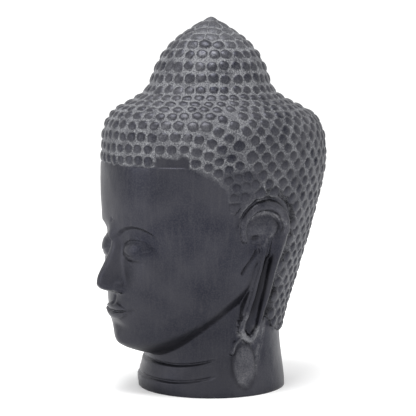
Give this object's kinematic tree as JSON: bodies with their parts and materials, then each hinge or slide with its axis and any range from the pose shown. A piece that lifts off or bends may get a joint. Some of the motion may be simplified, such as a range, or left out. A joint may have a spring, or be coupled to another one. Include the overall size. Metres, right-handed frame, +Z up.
{
  "type": "buddha head",
  "caption": "Cast bronze Buddha head with a domed topknot, hair of round curls, long ears and a creased neck cut flat below.",
  "frame": {"origin": "middle of the flat underside", "axes": "+Z up along the neck to the tip of the topknot, -Y the way the face looks, +X the head's left ear"},
  "size_m": [0.2038, 0.2571, 0.38],
  "materials": {
    "bronze": "bronze with a dark blue-black patina, satin, pale dust in its grooves"
  },
  "bodies": {
    "root": {"buddha_head": "bronze"}
  },
  "joints": []
}
